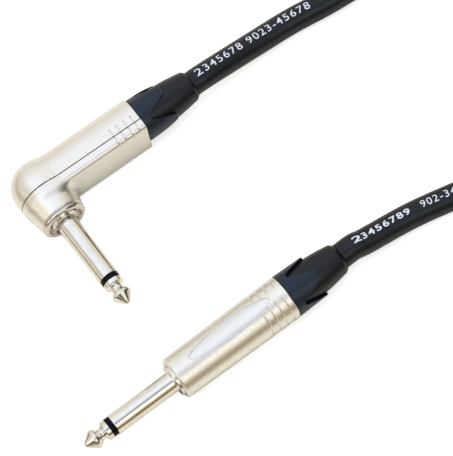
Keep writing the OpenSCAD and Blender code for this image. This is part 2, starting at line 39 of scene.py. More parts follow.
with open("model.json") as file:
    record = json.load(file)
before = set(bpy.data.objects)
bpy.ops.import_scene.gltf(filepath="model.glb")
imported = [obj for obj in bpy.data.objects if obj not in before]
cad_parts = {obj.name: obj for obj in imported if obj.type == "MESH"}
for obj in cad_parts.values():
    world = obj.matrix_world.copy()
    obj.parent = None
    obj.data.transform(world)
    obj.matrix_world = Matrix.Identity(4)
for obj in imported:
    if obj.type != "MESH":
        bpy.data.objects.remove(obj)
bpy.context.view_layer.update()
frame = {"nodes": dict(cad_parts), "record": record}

# ---- camera: a long lens high over the table ----

ELEVATION, AZIMUTH, ROLL = 66.0, 24.0, -14.2  # degrees
TARGET = Vector((25.7, -9.02, 7.3)) * MM
DISTANCE = 0.9
LENS = 248.2
SENSOR = 36.0


def add_camera():
    """The photograph's view: the whole frame is fitted to both plugs."""
    e, a, r = (math.radians(v) for v in (ELEVATION, AZIMUTH, ROLL))
    back = Vector((-math.sin(a) * math.cos(e), -math.cos(a) * math.cos(e), math.sin(e)))
    level = Vector((math.cos(a), -math.sin(a), 0.0))
    over = back.cross(level)
    right = math.cos(r) * level + math.sin(r) * over
    up = math.cos(r) * over - math.sin(r) * level
    data = bpy.data.cameras.new("photo_camera")
    data.sensor_fit = "HORIZONTAL"
    data.sensor_width = SENSOR
    data.lens = LENS
    data.clip_start = 0.01
    data.clip_end = 20.0
    cam = bpy.data.objects.new("photo_camera", data)
    cam.matrix_world = Matrix.Translation(TARGET + DISTANCE * back) @ Matrix(
        (right, up, back)).transposed().to_4x4()
    bpy.context.collection.objects.link(cam)
    bpy.context.scene.camera = cam


add_camera()

# ---- sizes of the plugs, millimetres ----

FINGER_R = 3.175
FINGER_L, ANGLE_FINGER_L = 30.85, 32.0
TIP_L, RING_W, RING_INSET = 8.25, 1.6, 0.2
BULB_R, NECK_R, ROD_R = 3.05, 1.75, 1.15
SHELL_L, SHELL_FRONT_R, SHELL_REAR_R = 39.6, 6.575, 7.025
COLLAR_R, COLLAR_PROUD, FRONT_WALL, FLANGE_T = 5.1, 0.8, 1.6, 2.0
OVAL_L, OVAL_W, OVAL_X, OVAL_DEEP, OVAL_MOAT = 28.6, 6.2, 20.1, 0.22, 0.16
BARREL_R, BARREL_L, FACE_Y, EDGE_R, SPLIT_Y = 7.55, 34.8, 6.5, 1.7, 3.2
ELBOW_R, RIM_Y, RIM_R, RIM_T, RECESS_R, RECESS_DEEP = 8.5, 13.6, 7.1, 1.5, 5.4, 0.9
ANGLE_COLLAR_R, BASE_WALL, BORE_R = 4.4, 1.0, 5.75
GROOVES, GROOVE_STEP, GROOVE_FIRST, GROOVE_W, GROOVE_DEEP, GROOVE_TOP = 4, 2.45, 2.1, 0.6, 0.25, 0.5
BOOT_L = 19.3
SHELL_X = FINGER_L + COLLAR_PROUD
STRAIGHT_L = SHELL_X + SHELL_L + BOOT_L
ANGLE_YAW = math.radians(1.55)
ANGLE_O = Vector((-9.1, 35.3, ELBOW_R))
STRAIGHT_O = Vector((-STRAIGHT_L / 2, -36.8, SHELL_REAR_R))


def place_straight(p):
    """From millimetres off the straight finger's point, x towards the cable, to metres."""
    return (STRAIGHT_O + Vector(p)) * MM


def place_angle(p):
    """From millimetres off the elbow's middle, x towards the cable, y off the finger."""
    x, y, z = p
    c, s = math.cos(ANGLE_YAW), math.sin(ANGLE_YAW)
    return (ANGLE_O + Vector((x * c + y * s, y * c - x * s, z))) * MM


# ---- the cable: one cord from the angle plug, through its coil, to the straight plug ----

CABLE_D = 7.8 * MM
ANGLE_EXIT = place_angle((BARREL_L + BOOT_L, 0, 0))
STRAIGHT_EXIT = place_straight((STRAIGHT_L, 0, 0))
EXIT_RUN = 5.2 * MM
ANGLE_ROUTE = [(69.5, 34, 5), (81.5, 33.5, 4), (95.5, 31.5, 4), (111.5, 30.5, 4),
               (127.5, 31.5, 4), (143.5, 35.5, 4), (157.5, 38.5, 4)]
STRAIGHT_ROUTE = [(54.5, -37.3, 6.2), (69.5, -38.5, 4), (82.5, -41.5, 4), (95.5, -45.5, 5),
                  (107.5, -50.5, 9), (119.5, -55.5, 15), (132.5, -60.5, 22), (145.5, -62.5, 27)]
COIL_AT = Vector((178, -11)) * MM
COIL_R = 52 * MM
COIL_STEP = 8.3 * MM
COIL_Z = 5.1 * MM
COIL_LAYERS = 4
LAYER_TURNS = 2.625
COIL_POINTS = 48  # to each turn
LEAD_STEPS = 6  # between two points of a lead's route
CABLE_SIDES = 32


def smooth(t):
    """From 0 to 1 with level ends."""
    t = min(1.0, max(0.0, t))
    return t * t * (3 - 2 * t)


def coil_point(t):
    """The coil's middle line after t turns: layers that wind inwards and outwards in turn."""
    done = t % LAYER_TURNS
    layer = int(t // LAYER_TURNS)
    if layer % 2:
        done = LAYER_TURNS - done
    if t >= COIL_LAYERS * LAYER_TURNS:
        done = 0.0
    radius = COIL_R - COIL_STEP * done
    ups = sum(smooth((t - k * LAYER_TURNS) * 2 + 0.5) for k in range(1, COIL_LAYERS))
    angle = 2 * math.pi * t
    return Vector((COIL_AT.x + radius * math.sin(angle), COIL_AT.y + radius * math.cos(angle),
                   COIL_Z + COIL_STEP * ups))


def rounded(points, steps):
    """A smooth line through the points (Catmull-Rom), with this many steps to each stretch."""
    line = []
    ends = [2 * points[0] - points[1]] + points + [2 * points[-1] - points[-2]]
    for a, b, c, d in zip(ends, ends[1:], ends[2:], ends[3:]):
        for k in range(steps):
            t = k / steps
            line.append(0.5 * (2 * b + (c - a) * t + (2 * a - 5 * b + 4 * c - d) * t * t
                               + (3 * b - 3 * c + d - a) * t ** 3))
    return line + [points[-1]]


def cable_lines():
    """The angle plug's lead, the coil, and the straight plug's lead from the plug outwards."""
    turns = COIL_LAYERS * LAYER_TURNS
    coil = [coil_point(k / COIL_POINTS) for k in range(int(turns * COIL_POINTS) + 1)]
    back = Vector((CABLE_D, 0, 0))
    out = Vector((math.cos(ANGLE_YAW), -math.sin(ANGLE_YAW), 0))
    first = [ANGLE_EXIT, ANGLE_EXIT + EXIT_RUN * out]
    first += [Vector(p) * MM for p in ANGLE_ROUTE] + [coil[0] - 2 * back, coil[0] - back, coil[0]]
    last = [STRAIGHT_EXIT, STRAIGHT_EXIT + Vector((EXIT_RUN, 0, 0))]
    last += [Vector(p) * MM for p in STRAIGHT_ROUTE]
    last += [coil[-1] - 2 * back, coil[-1] - back, coil[-1]]
    return rounded(first, LEAD_STEPS), coil, rounded(last, LEAD_STEPS)


def new_object(name, verts, faces, uvs=None, normals=None, sharp=None):
    """A smooth-shaded mesh. Edges sharper than `sharp` degrees stay crisp."""
    mesh = bpy.data.meshes.new(name)
    mesh.from_pydata([tuple(v) for v in verts], [], faces)
    if uvs:
        layer = mesh.uv_layers.new(name="UVMap")
        for poly in mesh.polygons:
            for loop, corner in zip(poly.loop_indices, uvs[poly.index]):
                layer.data[loop].uv = corner
    mesh.polygons.foreach_set("use_smooth", [True] * len(mesh.polygons))
    mesh.update()
    if sharp:
        mesh.set_sharp_from_angle(angle=math.radians(sharp))
    if normals is not None:
        mesh.normals_split_custom_set_from_vertices([tuple(n) for n in normals])
    obj = bpy.data.objects.new(name, mesh)
    bpy.context.collection.objects.link(obj)
    return obj


def run_of(line):
    """Distance of each point along a line."""
    run = [0.0]
    for a, b in zip(line, line[1:]):
        run.append(run[-1] + (b - a).length)
    return run


def frame_at(line, i):
    """Directions along, sideways and up at point i of a line."""
    way = (line[min(i + 1, len(line) - 1)] - line[max(i - 1, 0)]).normalized()
    side = Vector((0, 0, 1)).cross(way).normalized()
    return way, side, way.cross(side)


def tube(name, line, radius, sides):
    """A round tube along a line. U runs once round, V is the distance along in metres."""
    verts, faces, uvs = [], [], []
    run = run_of(line)
    for i, p in enumerate(line):
        way, side, up = frame_at(line, i)
        verts += [p + radius * (math.cos(t) * side + math.sin(t) * up)
                  for t in (2 * math.pi * k / sides for k in range(sides))]
    for i in range(len(line) - 1):
        for k in range(sides):
            a, b = i * sides + k, i * sides + (k + 1) % sides
            faces.append((a, b, b + sides, a + sides))
            u0, u1 = k / sides, (k + 1) / sides
            uvs.append(((u0, run[i]), (u1, run[i]), (u1, run[i + 1]), (u0, run[i + 1])))
    last = (len(line) - 1) * sides
    faces += [tuple(reversed(range(sides))), tuple(range(last, last + sides))]
    uvs += [[(0, 0)] * sides, [(0, run[-1])] * sides]
    return new_object(name, verts, faces, uvs), run[-1]


angle_line, coil_line, straight_line = cable_lines()
line = angle_line[:-1] + coil_line + straight_line[::-1][1:]
cable, cable_length = tube("cable", line, CABLE_D / 2, CABLE_SIDES)
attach(cable, "plugs_and_cable")
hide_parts("angle_lead", "coil", "straight_lead")
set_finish(cable, "cable_jacket")

# ---- white print on the jacket: plain numbers ----

PRINT_RAISE = 0.03 * MM
CAP_HEIGHT = 0.72  # of a number, as a part of the font's size


def print_on(name, text, lead, start, height, wide, spacing, bold, across):
    """Numbers wrapped on the cable, read away from the plug, `across` from the cable's top."""
    curve = bpy.data.curves.new(name, "FONT")
    curve.body = text
    curve.size = height / CAP_HEIGHT
    curve.offset = bold * height
    curve.resolution_u = 4
    curve.space_character = spacing
    source = bpy.data.objects.new(name, curve)
    mesh = bpy.data.meshes.new_from_object(source)
    form = bmesh.new()
    form.from_mesh(mesh)
    bmesh.ops.scale(form, vec=(wide, 1, 1), verts=form.verts)
    far = max(v.co.x for v in form.verts)
    bands = 6
    cuts = [((0, height * k / bands, 0), (0, 1, 0)) for k in range(-1, bands + 2)]
    cuts += [((k * height / 2, 0, 0), (1, 0, 0)) for k in range(int(2 * far / height) + 1)]
    for co, no in cuts:
        bmesh.ops.bisect_plane(form, geom=form.verts[:] + form.edges[:] + form.faces[:],
                               plane_co=co, plane_no=no)
    run = run_of(lead)
    radius = CABLE_D / 2 + PRINT_RAISE
    for v in form.verts:
        s = start + v.co.x
        i = max(k for k in range(len(run)) if run[k] <= s)
        t = (s - run[i]) / (run[i + 1] - run[i])
        (_, s0, u0), (_, s1, u1) = frame_at(lead, i), frame_at(lead, i + 1)
        angle = (v.co.y - height / 2 + across) / radius
        v.co = (lead[i].lerp(lead[i + 1], t)
                + radius * (math.sin(angle) * s0.lerp(s1, t) + math.cos(angle) * u0.lerp(u1, t)))
    form.to_mesh(mesh)
    form.free()
    bpy.data.objects.remove(source)
    piece = bpy.data.objects.new(name, mesh)
    bpy.context.collection.objects.link(piece)
    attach(piece, "plugs_and_cable")
    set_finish(piece, "cable_jacket")
    return piece


prints = [
    print_on("angle_print", "2345678 9023-45678", angle_line, start=2.2 * MM, height=2.5 * MM,
             wide=1.16, spacing=1.2, bold=0.004, across=0.3 * MM),
    print_on("straight_print_bold", "23456789", straight_line, start=4.9 * MM, height=2.0 * MM,
             wide=1.5, spacing=1.2, bold=0.03, across=0.2 * MM),
    print_on("straight_print", "902-345", straight_line, start=28.2 * MM, height=2.4 * MM,
             wide=1.05, spacing=1.18, bold=0.004, across=0.3 * MM),
]

# ---- the coil's strap: one turn of tape round all the turns, its end lapped over ----

TIE_GAP, TIE_T, TIE_SINGLE, TIE_W = 0.1 * MM, 1.0 * MM, 0.6 * MM, 14 * MM
TIE_ANGLE = math.radians(-60)
TIE_CORNER = 2 * MM
TIE_LAP = 12  # of the loop's points, from the middle of the upper side
TIE_CREASE = 50  # degrees


def strap_loop():
    """Points and outward normals of the inside of the strap, as distance from the coil's
    middle and height, from the middle of the upper side round over the outside."""
    low = CABLE_D / 2 + TIE_GAP
    inner, outer = COIL_R - LAYER_TURNS * COIL_STEP - low, COIL_R + low
    bottom, top = COIL_Z - low, COIL_Z + (COIL_LAYERS - 1) * COIL_STEP + low
    r = TIE_CORNER + TIE_GAP
    middle = (inner + outer) / 2
    flat, bend = 10, 6
    loop = [(Vector((x, top)), Vector((0, 1))) for x in np.linspace(middle, outer - r, flat)[:-1]]
    corners = [((outer - r, top - r), 90), ((outer - r, bottom + r), 0),
               ((inner + r, bottom + r), -90), ((inner + r, top - r), -180)]
    for (x, z), start in corners:
        for k in range(bend + 1):
            a = math.radians(start - 90 * k / bend)
            n = Vector((math.cos(a), math.sin(a)))
            loop.append((Vector((x, z)) + r * n, n))
    loop += [(Vector((x, top)), Vector((0, 1)))
             for x in np.linspace(inner + r, middle, flat)[1:-1]]
    return loop


def add_strap():
    loop = strap_loop()
    steps = 14
    verts, faces = [], []
    for i, (at, n) in enumerate(loop):
        thick = TIE_T if i < TIE_LAP else TIE_SINGLE
        ring = [(-0.5, 0), (-0.5, 0.8), (-0.48, 1)]
        ring += [(w, 1) for w in np.linspace(-0.46, 0.46, steps)]
        ring += [(0.48, 1), (0.5, 0.8), (0.5, 0), (0.2, 0), (-0.2, 0)]
        for w, depth in ring:
            p = at + n * thick * depth
            a = TIE_ANGLE + w * TIE_W / at.x
            verts.append((COIL_AT.x + p.x * math.cos(a), COIL_AT.y + p.x * math.sin(a), p.y))
    size = len(ring)
    for i in range(len(loop)):
        j = (i + 1) % len(loop)
        for k in range(size):
            m = (k + 1) % size
            faces.append((i * size + k, i * size + m, j * size + m, j * size + k))
    strap = new_object("coil_strap", verts, faces, sharp=TIE_CREASE)
    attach(strap, "plugs_and_cable")
    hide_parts("coil_tie")
    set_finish(strap, "tie")
    return strap


strap = add_strap()

# ---- turned pieces of the two plugs ----

LATHE_SIDES = 96
LATHE_CREASE = 32  # degrees
WELD = 1e-7  # metres
TUBE_AIR = 0.05  # between the tip's rod and the insulator's tube, millimetres
INSULATOR_WALL = 0.8
SLEEVE_AIR = 0.05
FLANGE_PROUD = 0.3
RING_AIR = 0.25
WASHER_T, TERMINAL_T = 1.9, 0.6


def arc(points, steps=6):
    """A smooth profile through [radius, station] points."""
    line = rounded([Vector((r, x, 0)) for r, x in points], steps)
    return [(max(p.x, 0.0), p.y) for p in line]


def lathe(name, profile, place):
    """A closed turned piece. The profile is a loop of [radius, station]."""
    verts, faces = [], []
    count = len(profile)
    for k in range(LATHE_SIDES):
        a = 2 * math.pi * k / LATHE_SIDES
        verts += [place(r, x, a) for r, x in profile]
    for k in range(LATHE_SIDES):
        nxt = (k + 1) % LATHE_SIDES
        for i in range(count):
            j = (i + 1) % count
            if profile[i][0] == 0 and profile[j][0] == 0:
                continue
            faces.append((k * count + i, nxt * count + i, nxt * count + j, k * count + j))
    form = bmesh.new()
    mesh = bpy.data.meshes.new(name)
    mesh.from_pydata([tuple(v) for v in verts], [], faces)
    form.from_mesh(mesh)
    bmesh.ops.remove_doubles(form, verts=form.verts, dist=WELD)
    bmesh.ops.recalc_face_normals(form, faces=form.faces)
    form.to_mesh(mesh)
    form.free()
    mesh.polygons.foreach_set("use_smooth", [True] * len(mesh.polygons))
    mesh.set_sharp_from_angle(angle=math.radians(LATHE_CREASE))
    obj = bpy.data.objects.new(name, mesh)
    bpy.context.collection.objects.link(obj)
    return obj


def on_straight(r, x, a):
    return place_straight((x, r * math.cos(a), r * math.sin(a)))


def on_angle_finger(r, x, a):
    return place_angle((r * math.sin(a), x - RIM_Y - ANGLE_FINGER_L, r * math.cos(a)))


def piece_for(node, obj, body="plugs_and_cable"):
    """obj rides on its body, stands for a CAD node and takes that node's finish."""
    slot = next(p["material_slot"] for p in frame["record"]["subparts"] if p["node"] == node)
    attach(obj, body)
    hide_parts(node)
    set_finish(obj, slot)
    return obj


def tip_profile(rod_end):
    """The pointed bulb, its neck and shoulder, and the rod that runs back to the terminal."""
    nose = arc([(0, 0), (0.4, 0.02), (0.75, 0.2), (1.75, 1.4), (2.74, 2.58), (2.98, 2.92),
                (BULB_R, 3.28), (2.97, 3.64), (2.68, 4.12), (2.2, 4.7), (1.87, 5.2),
                (NECK_R, 5.64), (1.85, 6.06), (2.18, 6.42), (2.6, 6.7)])
    return nose + [(2.82, 6.8), (2.96, 6.94), (3.0, 7.12), (3.0, TIP_L - 0.08), (2.92, TIP_L),
                   (ROD_R, TIP_L), (ROD_R, rod_end), (0, rod_end)]


def insulator_profile(end):
    """A ring with a tube behind it, round the tip's rod."""
    r, back = FINGER_R - RING_INSET, TIP_L + RING_W
    inside = ROD_R + TUBE_AIR
    outside = inside + INSULATOR_WALL
    return [(inside, TIP_L), (r - 0.06, TIP_L), (r, TIP_L + 0.1), (r, back - 0.1),
            (r - 0.06, back), (outside, back), (outside, end), (inside, end)]


def sleeve_profile(shoulder, collar, seat):
    """A sleeve whose collar starts at `shoulder`, with a flange that sits at `seat`. Two
    stations on the cylinder, next to its rounded ends, keep its shading straight."""
    front = TIP_L + RING_W
    inside = ROD_R + TUBE_AIR + INSULATOR_WALL + SLEEVE_AIR
    flange = collar + FLANGE_PROUD
    return [(inside, front), (FINGER_R - 0.14, front), (FINGER_R - 0.04, front + 0.04),
            (FINGER_R, front + 0.15), (FINGER_R, front + 0.3), (FINGER_R, shoulder - 0.6),
            (FINGER_R, shoulder - 0.45), (FINGER_R + 0.04, shoulder - 0.24),
            (FINGER_R + 0.14, shoulder - 0.08), (FINGER_R + 0.3, shoulder),
            (collar - 0.32, shoulder), (collar - 0.12, shoulder + 0.06),
            (collar - 0.03, shoulder + 0.17), (collar, shoulder + 0.32), (collar, seat),
            (flange, seat), (flange, seat + FLANGE_T), (inside, seat + FLANGE_T)]


def add_fingers():
    plugs = [("straight", on_straight, FINGER_L, COLLAR_R, SHELL_X + FRONT_WALL),
             ("angle", on_angle_finger, ANGLE_FINGER_L + RECESS_DEEP / 2, ANGLE_COLLAR_R,
              ANGLE_FINGER_L + RIM_T + BASE_WALL)]
    made = []
    for plug, place, shoulder, collar, seat in plugs:
        back = seat + FLANGE_T
        made += [(plug + "_tip", tip_profile(back + WASHER_T + TERMINAL_T), place),
                 (plug + "_insulator", insulator_profile(back), place),
                 (plug + "_sleeve", sleeve_profile(shoulder, collar, seat), place)]
    return {node: piece_for(node, lathe(node + "_turned", profile, place))
            for node, profile, place in made}


def add_front_ring():
    """The ring's front is a rounded lip, and its recess leaves air round the collar."""
    lip = arc([(RECESS_R, 0.28), (RECESS_R + 0.12, 0.1), (RECESS_R + 0.38, 0.0),
               (RECESS_R + 0.85, 0.02), (RIM_R - 0.42, 0.2), (RIM_R - 0.12, 0.52),
               (RIM_R, 0.9)], 4)
    hole = ANGLE_COLLAR_R + RING_AIR
    profile = lip + [(RIM_R, RIM_T - 0.45), (RIM_R - 0.4, RIM_T - 0.15), (RIM_R - 0.6, RIM_T),
                     (hole, RIM_T), (hole, RECESS_DEEP), (RECESS_R - 0.08, RECESS_DEEP),
                     (RECESS_R, RECESS_DEEP - 0.08)]
    ring = lathe("front_ring", [(r, ANGLE_FINGER_L + x) for r, x in profile], on_angle_finger)
    return piece_for("angle_front_ring", ring)


fingers = add_fingers()
front_ring = add_front_ring()

# ---- straight shell: rings of points whose lines follow the oval's outline ----

SHELL_FRONT_EDGE, SHELL_REAR_EDGE = 0.62, 0.35
OVAL_CHORD = OVAL_L + 5  # of the arcs, longer than the field, so its ends stay open
OVAL_END, OVAL_BLUNT = 1.4, 0.2  # length of a rounded end, and how blunt it starts
OVAL_LINES = [0.0, 0.08, 0.24, 0.4]  # distances in from the outline, for its step and groove
OVAL_GROOVE = 0.3  # from the outline to the inner edge of the groove in the field
PLAIN_STRIP, GROOVE_FADE = 1.6, 0.5  # the grip grooves stop this far from the shell's top line
SOCKET_L, SOCKET_RUN, COLLAR_AIR = 12, 0.2, 0.12
SHELL_STEP = 0.6
SHELL_REST = 86  # points round the shell outside the oval
FIELD_POINTS = 11
SHELL_CREASE = 28  # degrees


def shell_radius(x):
    return SHELL_FRONT_R + (SHELL_REAR_R - SHELL_FRONT_R) * x / SHELL_L


def oval_half(x):
    """Half the width of the bare oval at x, as two arcs with rounded ends."""
    big = (OVAL_CHORD ** 2 + OVAL_W ** 2) / (4 * OVAL_W)
    away = min(abs(x - OVAL_X), OVAL_L / 2)
    half = math.sqrt(big ** 2 - away ** 2) - big + OVAL_W / 2
    into = min(1.0, (OVAL_L / 2 - away) / OVAL_END)
    return half * math.sqrt(max(OVAL_BLUNT, 1 - (1 - into) ** 2))


def groove_spots(length):
    """Stations of the grip grooves of a housing this long."""
    return [length - GROOVE_FIRST - k * GROOVE_STEP for k in range(GROOVES)]


def groove_depth(x, length):
    """Depth of the V-shaped grip grooves at x."""
    away = min(abs(x - spot) for spot in groove_spots(length))
    return GROOVE_DEEP * max(0.0, 1 - away / (GROOVE_W / 2))


def rounded_off(edge, x):
    """How much an edge of this radius takes off, x from the end."""
    return edge - math.sqrt(max(0, edge ** 2 - max(0, edge - x) ** 2))


def shell_stations(ends):
    """Stations of the shell's rings, close together at its edges, grooves and oval ends."""
    grooves = groove_spots(SHELL_L)
    rear = [SHELL_L - d for d in (0.5, SHELL_REAR_EDGE, 0.25, 0.14, 0.06, 0.02, 0.0)]
    front = [0.0, 0.03, 0.1, 0.22, 0.4, SHELL_FRONT_EDGE, 0.9]
    between = [x for x in np.arange(front[-1] + 0.4, SHELL_L - 0.7, SHELL_STEP)
               if all(abs(x - spot) > 0.4 for spot in grooves)]
    return sorted(set(front + rear + between
                      + [ends[0] + d for d in OVAL_LINES] + [ends[1] - d for d in OVAL_LINES]
                      + [spot + GROOVE_W * k / 4 for spot in grooves
                         for k in (-2.4, -2, -1, 0, 1, 2, 2.4)]))


def add_straight_shell():
    ends = [OVAL_X - OVAL_L / 2, OVAL_X + OVAL_L / 2]
    xs = shell_stations(ends)
    socket = SHELL_L - SOCKET_L
    inside = [(BORE_R, SHELL_L), (BORE_R, socket),
              (COLLAR_R + COLLAR_AIR, socket - SOCKET_RUN), (COLLAR_R + COLLAR_AIR, 0)]
    verts, faces = [], []
    for x in xs:
        r = shell_radius(x)
        r -= rounded_off(SHELL_FRONT_EDGE, x) + rounded_off(SHELL_REAR_EDGE, SHELL_L - x)
        half = oval_half(x) / r
        rim = [d / r for d in OVAL_LINES]
        field = np.linspace(rim[-1] - half, half - rim[-1], FIELD_POINTS)[1:-1]
        within = [d - half for d in rim] + list(field) + [half - d for d in reversed(rim)]
        rest = np.linspace(half, 2 * math.pi - half, SHELL_REST)[1:-1]
        to_end = min(x - ends[0], ends[1] - x)
        for k, a in enumerate([*within, *rest]):
            off_strip = abs((a + math.pi) % (2 * math.pi) - math.pi) * r - PLAIN_STRIP
            deep = groove_depth(x, SHELL_L) * smooth(off_strip / GROOVE_FADE)
            line_in = min(k, len(within) - 1 - k, len(rim) - 1) if k < len(within) else 0
            if line_in and to_end > 0:
                from_outline = half * r if line_in == len(rim) - 1 else OVAL_LINES[line_in]
                in_groove = min(from_outline, to_end) < OVAL_GROOVE
                deep = OVAL_DEEP + (OVAL_MOAT if in_groove else 0.0)
            verts.append(place_straight((SHELL_X + x, (r - deep) * math.sin(a),
                                         (r - deep) * math.cos(a))))
    size = len(within) + len(rest)
    for r, x in inside:
        verts += [place_straight((SHELL_X + x, r * math.sin(a), r * math.cos(a)))
                  for a in [*within, *rest]]
    rows = len(xs) + len(inside)
    oval_faces = []
    for i in range(rows):
        j = (i + 1) % rows
        in_oval = 0 < j < len(xs) and ends[0] <= xs[i] and xs[j] <= ends[1]
        for k in range(size):
            m = (k + 1) % size
            if in_oval and k < len(within) - 1:
                oval_faces.append(len(faces))
            faces.append((i * size + k, i * size + m, j * size + m, j * size + k))
    shell = new_object("straight_shell_turned", verts, faces, sharp=SHELL_CREASE)
    for i in oval_faces:
        shell.data.polygons[i].material_index = 1
    return piece_for("straight_shell", shell)


straight_shell = add_straight_shell()

# ---- angle housing: one smooth solid form, parted along its seam ----

SEAM = 0.26
REACH = RIM_Y - RIM_T  # of the boss, from the cable's axis
BARREL_END_R, BOSS_END_R, SEAM_EDGE_R = 0.25, 0.5, 0.08
BOSS_TAPER = 1.6  # power by which the boss narrows
FILLET_UPPER, FILLET_LOWER, FILLET_FROM, FILLET_RUN = 1.3, 2.2, 3.5, 3.0
FLANGE_AIR = 0.4
CELL = 0.3
SLOPE_STEP = 0.01
SETTLE = 6  # times that the vertices move onto the surface
LEAST_SLOPE = 0.05  # squared, so that no vertex jumps where the form is nearly level


def both(a, b, r):
    """Distance to what is inside two forms, with the edge between them rounded."""
    return np.minimum(np.maximum(a, b), -r) + np.hypot(np.maximum(a + r, 0), np.maximum(b + r, 0))


def either(a, b, r):
    """Distance to two forms joined by a fillet."""
    return np.maximum(np.minimum(a, b), r) - np.hypot(np.maximum(r - a, 0), np.maximum(r - b, 0))


def housing_outside(x, y, z):
    """The housing without its seam: the barrel, rounded over the elbow, and the boss. The
    fillet between them grows towards the finger, and ends at the table."""
    around = np.hypot(np.minimum(x, 0), z)
    barrel = np.where(y > 0, np.hypot(around, y), around) - BARREL_R
    barrel = both(barrel, -y - FACE_Y, EDGE_R)
    barrel = both(barrel, x - BARREL_L, BARREL_END_R)
    off = np.hypot(x, z)
    down = np.clip(-y / REACH, 0, 1.2)
    boss = off - ELBOW_R + (ELBOW_R - RIM_R) * down ** BOSS_TAPER
    elbow = both(np.where(y > 0, np.hypot(off, y) - ELBOW_R, boss), -y - REACH, BOSS_END_R)
    lower = np.clip((-y - FILLET_FROM) / FILLET_RUN, 0, 1)
    fillet = FILLET_UPPER + (FILLET_LOWER - FILLET_UPPER) * lower
    form = np.maximum(either(barrel, elbow, fillet), -z - ELBOW_R)
    for spot in groove_spots(BARREL_L):
        away = np.abs(x - spot)
        cutter = np.maximum(y + GROOVE_TOP, BARREL_R - EDGE_R - np.abs(z))
        vee = form + GROOVE_DEEP * (1 - away / (GROOVE_W / 2))
        form = np.maximum(form, np.minimum(vee, -cutter))
    return form


def base_form(x, y, z):
    """The base: the finger's side of the seam, with the boot's bore and the flange's room."""
    form = both(housing_outside(x, y, z), y + SPLIT_Y + SEAM / 2, SEAM_EDGE_R)
    bore = np.maximum(np.hypot(y, z) - BORE_R, -x)
    flange_y = RIM_T + BASE_WALL - RIM_Y
    off = np.hypot(x, z)
    room = np.minimum(np.maximum(off - ANGLE_COLLAR_R - FLANGE_AIR, flange_y - y),
                      off - ANGLE_COLLAR_R - COLLAR_AIR)
    return np.maximum(form, -np.minimum(bore, room))


def cover_form(x, y, z):
    """The cover: the other side of the seam, hollow and open towards the base."""
    form = both(housing_outside(x, y, z), -y - SPLIT_Y + SEAM / 2, SEAM_EDGE_R)
    bore = np.maximum(np.where(y > 0, np.hypot(y, z), np.abs(z)) - BORE_R, -x)
    elbow = np.where(y > 0, np.sqrt(x * x + y * y + z * z), np.hypot(x, z)) - BORE_R
    return np.maximum(form, -np.minimum(bore, elbow))


def slopes(form, p):
    """The form's gradient at points p."""
    out = np.empty_like(p)
    for k in range(3):
        d = np.zeros(3)
        d[k] = SLOPE_STEP
        out[:, k] = (form(*(p + d).T) - form(*(p - d).T)) / (2 * SLOPE_STEP)
    return out


def skin(name, form, xs, ys, zs):
    """A mesh on form = 0: one vertex in each cell of the grid that the surface passes."""
    grid = np.meshgrid(xs, ys, zs, indexing="ij")
    solid = form(*grid) < 0
    near = np.zeros([n - 1 for n in solid.shape], int)
    for i in (0, 1):
        for j in (0, 1):
            for k in (0, 1):
                near += solid[i:i - 1 or None, j:j - 1 or None, k:k - 1 or None]
    cells = np.argwhere((near > 0) & (near < 8))
    index = np.full(near.shape, -1)
    index[tuple(cells.T)] = np.arange(len(cells))
    axes = (xs, ys, zs)
    low = np.stack([axes[k][cells[:, k]] for k in range(3)], 1)
    high = np.stack([axes[k][cells[:, k] + 1] for k in range(3)], 1)
    p = (low + high) / 2
    for _ in range(SETTLE):
        g = slopes(form, p)
        p -= (form(*p.T) / np.maximum((g * g).sum(1), LEAST_SLOPE))[:, None] * g
        p = np.clip(p, low, high)
    faces = []
    for axis in range(3):
        b, c = (axis + 1) % 3, (axis + 2) % 3
        lower = np.moveaxis(solid, axis, 0)[:-1]
        upper = np.moveaxis(solid, axis, 0)[1:]
        spots = np.argwhere(np.moveaxis(lower != upper, 0, axis))
        keep = (spots[:, b] > 0) & (spots[:, c] > 0)
        keep &= (spots[:, b] < index.shape[b]) & (spots[:, c] < index.shape[c])
        spots = spots[keep]
        outward = solid[tuple(spots.T)]
        corners = []
        for db, dc in ((1, 1), (0, 1), (0, 0), (1, 0)):
            q = spots.copy()
            q[:, b] -= db
            q[:, c] -= dc
            corners.append(index[tuple(q.T)])
        quads = np.stack(corners, 1)
        quads[~outward] = quads[~outward][:, ::-1]
        faces += quads.tolist()
    normals = slopes(form, p)
    normals /= np.maximum(np.linalg.norm(normals, axis=1), 1e-9)[:, None]
    c, s = math.cos(ANGLE_YAW), math.sin(ANGLE_YAW)
    turn = np.array([[c, -s, 0], [s, c, 0], [0, 0, 1]])
    world = (p @ turn + np.array(ANGLE_O)) * MM
    return new_object(name, world, faces, normals=normals @ turn)


def add_housing():
    """Both halves, on a grid of cells that is finer at the grooves, the end and the seam."""
    xs = np.arange(-9, BARREL_L + 0.6, CELL)
    for spot in groove_spots(BARREL_L):
        xs = xs[np.abs(xs - spot) > 0.42]
        xs = np.append(xs, spot + np.linspace(-0.35, 0.35, 8))
    xs = np.sort(xs[np.abs(xs - BARREL_L) > 0.28])
    xs = np.sort(np.append(xs, BARREL_L + np.array([-0.25, -0.15, -0.06, 0.02, 0.2])))
    zs = np.arange(-9, 9.1, CELL)
    seam = np.array([-0.3, -0.2, -0.1, 0.0, 0.1])
    base_ys = np.append(np.arange(-12.55, -SPLIT_Y - 0.32, CELL), -SPLIT_Y - SEAM / 2 + seam)
    cover_ys = np.append(-SPLIT_Y + SEAM / 2 - seam[::-1], np.arange(-SPLIT_Y + 0.4, 9, CELL))
    base = skin("housing_base", base_form, xs, base_ys, zs)
    cover = skin("housing_cover", cover_form, xs, cover_ys, zs)
    return piece_for("angle_base", base), piece_for("angle_cover", cover, "angle_cover")


